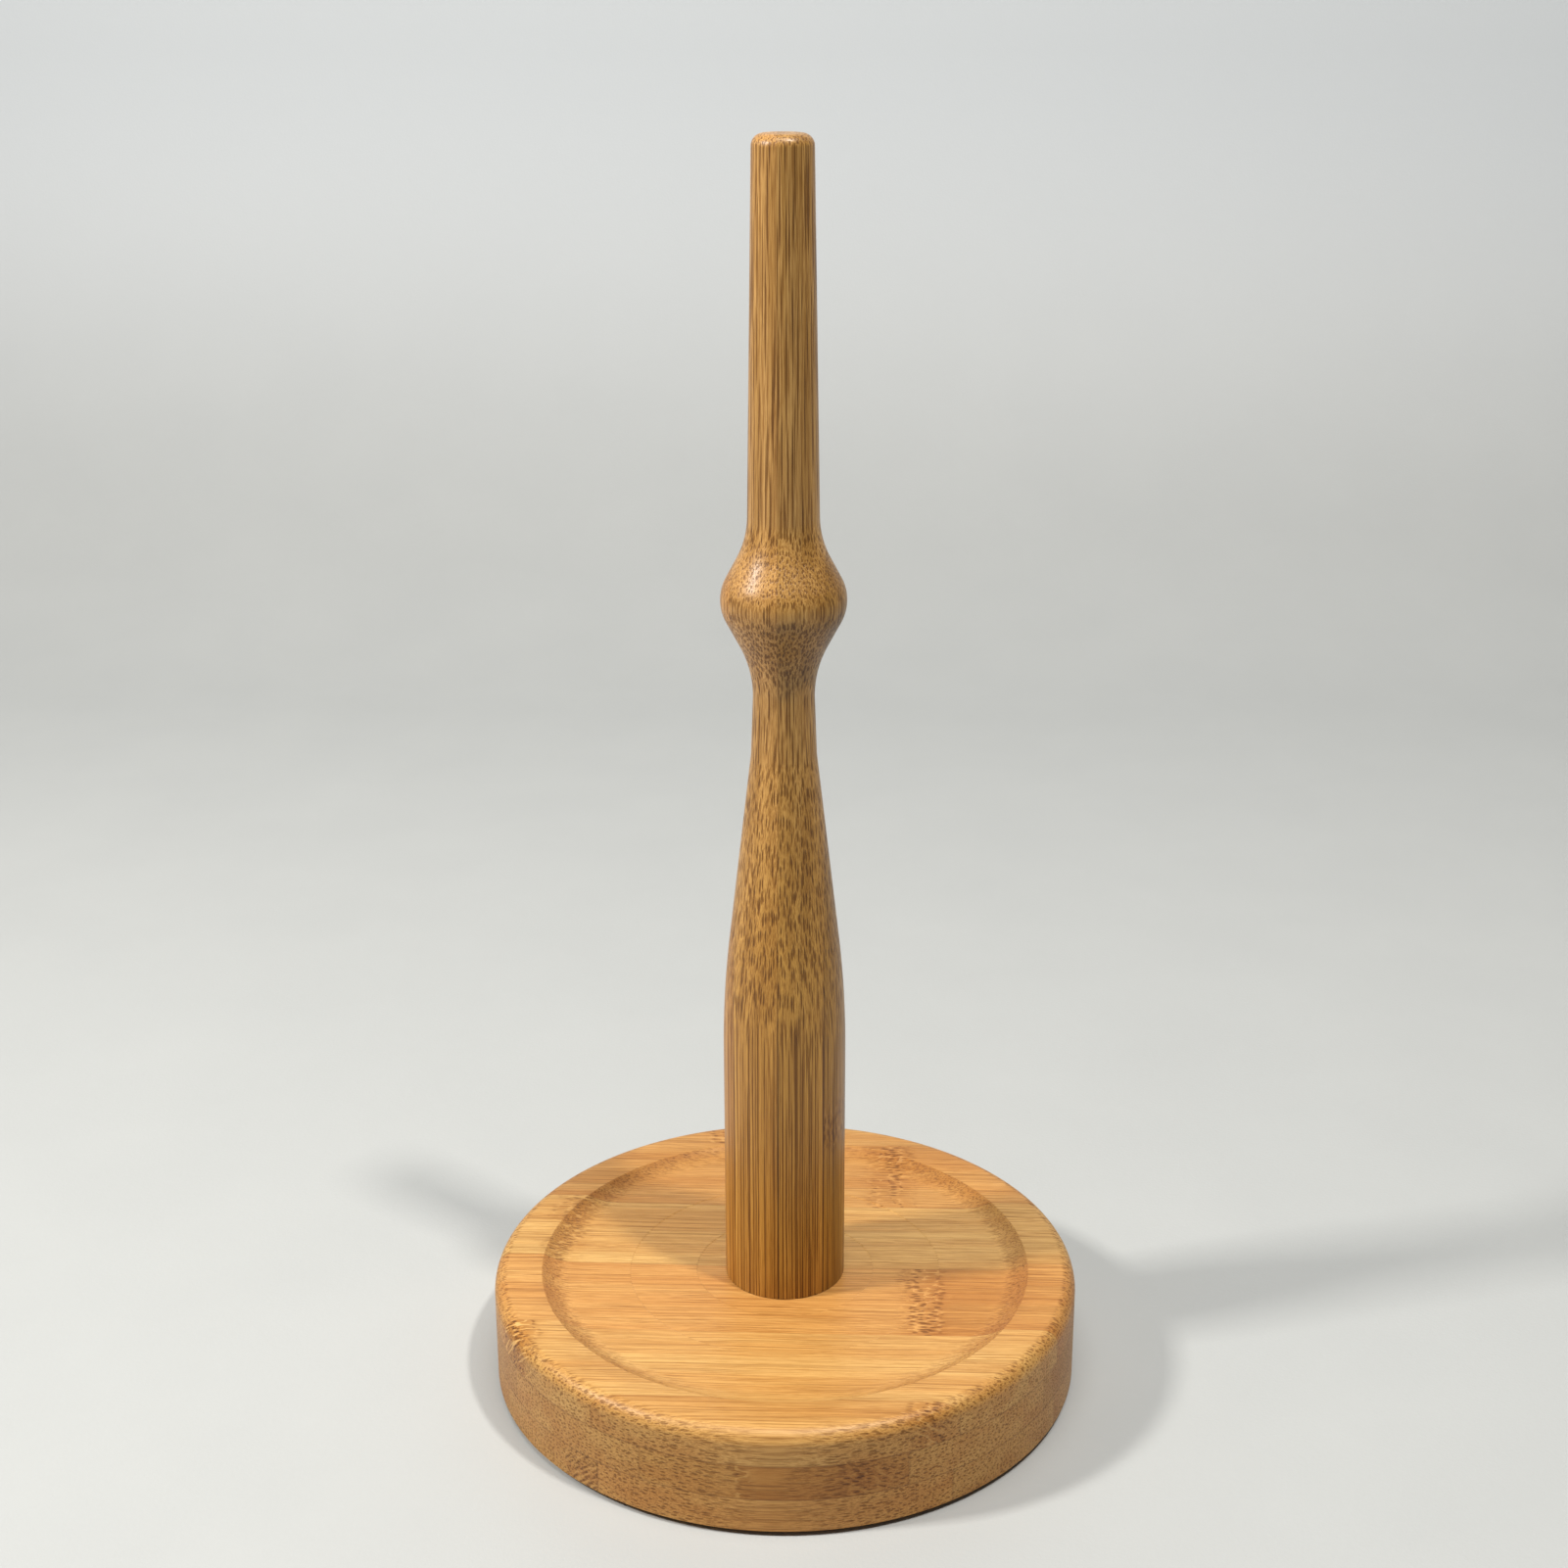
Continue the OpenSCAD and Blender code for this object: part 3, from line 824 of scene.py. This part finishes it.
def make_pad(i, material):
    """A stick-on pad with a rounded edge and a shallow ring moulded in its face."""
    node = f"non_slip_pad_{i}"
    low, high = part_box(node)
    centre = (low + high) / 2
    r = (high.x - low.x) / 2
    edge, ring, depth = 0.35 * MM, r * 0.62, 0.12 * MM
    points = [(0, high.z), (r, high.z), (r - 0.02 * MM, low.z + edge)]
    points += arc(r - 0.25 * MM - edge, low.z + edge, edge, 0, -90, 6)
    points += [(ring + 0.5 * MM, low.z), (ring + 0.3 * MM, low.z + depth), (ring - 0.3 * MM, low.z + depth),
               (ring - 0.5 * MM, low.z), (0, low.z)]
    bm = lathe(points, closed=False, steps=SCREW_STEPS)
    bmesh.ops.translate(bm, vec=(centre.x, centre.y, 0), verts=bm.verts)
    make_piece(f"rubber_pad_{i}", bm, material, node)


def make_fittings():
    steel = metal("zinc_plated_steel", (0.66, 0.67, 0.68), (0.52, 0.53, 0.55), 0.30, 6.0)
    make_screw(steel)
    make_washer(steel)
    brass = metal("turned_brass", (0.80, 0.60, 0.28), (0.66, 0.46, 0.19), 0.28, 9.0)
    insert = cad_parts["threaded_insert"]
    insert.data.materials.clear()
    insert.data.materials.append(brass)
    pad_rubber = rubber()
    for i in range(1, 5):
        make_pad(i, pad_rubber)


# ---------------------------------------------------------------- stage, light and camera
FLOOR_DARK = (0.425, 0.44, 0.44, 1)
FLOOR_LIGHT = (0.455, 0.47, 0.468, 1)
BACKDROP = (0.595, 0.625, 0.65, 1)
BACKDROP_FROM = 30
BACKDROP_TO = 300
FLOOR_GAP = 0.02 * MM


def make_floor():
    """A pale sweep that curves up behind the object.

    It lies a hair under the pads, so that their faces don't coincide with it.
    """
    g = Graph("pale_floor")
    xyz = g.coordinates()
    mottle = g.noise(g.combine(*xyz), 0.02, 3)
    tooth = g.noise(g.combine(*xyz), 0.9, 2)
    colour = g.mix(mottle, FLOOR_DARK, FLOOR_LIGHT)
    colour = g.mix(g.step(xyz[2], BACKDROP_FROM, BACKDROP_TO), colour, BACKDROP)
    g.finish(colour, 0.6, tooth, 0.05 * MM)
    bm = bmesh.new()
    half, near, back, radius, top = 1.8, -1.2, 0.85, 0.30, 1.7
    low = -FLOOR_GAP
    profile = [(near, low)] + arc(back - radius, radius + low, radius, -90, 0, 16) + [(back, top)]
    columns = [[bm.verts.new((x, y, z)) for y, z in profile] for x in (-half, half)]
    for k in range(len(profile) - 1):
        bm.faces.new((columns[0][k], columns[1][k], columns[1][k + 1], columns[0][k + 1]))
    mesh = bpy.data.meshes.new("floor")
    bm.to_mesh(mesh)
    bm.free()
    mesh.polygons.foreach_set("use_smooth", [True] * len(mesh.polygons))
    mesh.materials.append(g.material)
    floor = bpy.data.objects.new("floor", mesh)
    bpy.context.scene.collection.objects.link(floor)


def aim(obj, target):
    direction = Vector(target) - obj.location
    obj.rotation_euler = direction.to_track_quat("-Z", "Y").to_euler()


def area_light(name, place, target, size, power, colour):
    light = bpy.data.lights.new(name, "AREA")
    light.shape = "RECTANGLE"
    light.size, light.size_y = size
    light.energy = power
    light.color = colour
    obj = bpy.data.objects.new(name, light)
    obj.location = place
    bpy.context.scene.collection.objects.link(obj)
    aim(obj, target)


# Each light: where it stands, what it points at, its size, power in watts and colour
LIGHTS = {
    "window_left": ((-0.83, -0.25, 0.85), (0, 0, 0.10), (0.12, 0.16), 12.2, (1.0, 0.96, 0.90)),
    "lamp_right": ((0.51, -0.375, 1.625), (0, 0, 0.05), (0.10, 0.10), 17.0, (1.0, 0.95, 0.88)),
    "ceiling": ((0.0, -0.25, 1.35), (0, 0, 0), (0.7, 0.7), 8.1, (1.0, 0.98, 0.95)),
}
WORLD_COLOUR = (0.86, 0.93, 1.0, 1)
WORLD_STRENGTH = 0.10


def make_lights():
    for name, (place, target, size, power, colour) in LIGHTS.items():
        area_light(name, place, target, size, power, colour)
    world = bpy.data.worlds.new("studio")
    world.use_nodes = True
    background = world.node_tree.nodes["Background"]
    background.inputs["Color"].default_value = WORLD_COLOUR
    background.inputs["Strength"].default_value = WORLD_STRENGTH
    bpy.context.scene.world = world


def make_camera():
    """A camera half a metre in front of the axis and a little above the tip, looking 18 degrees down."""
    distance, height, aside = 0.5229, 0.3480, 0.00002
    turn, pitch, roll = math.radians(2.3), math.radians(18.25), math.radians(-0.112)
    camera = bpy.data.cameras.new("camera")
    camera.sensor_width = 36
    camera.lens = 52.7
    camera.shift_y = -0.041
    camera.clip_start = 0.01
    right = Vector((math.cos(turn), math.sin(turn), 0))
    back = Vector((math.sin(turn), -math.cos(turn), 0))
    obj = bpy.data.objects.new("camera", camera)
    obj.location = back * distance + right * aside + Vector((0, 0, height))
    view = -back * math.cos(pitch) - Vector((0, 0, math.sin(pitch)))
    rotation = view.to_track_quat("-Z", "Y").to_matrix().to_4x4() @ Matrix.Rotation(roll, 4, "Z")
    obj.rotation_euler = rotation.to_euler()
    bpy.context.scene.collection.objects.link(obj)
    bpy.context.scene.camera = obj


# Colours are shown as they are, with no film curve laid over them
bpy.context.scene.view_settings.view_transform = "Standard"
make_camera()
make_lights()
make_floor()
make_board()
make_post()
make_fittings()
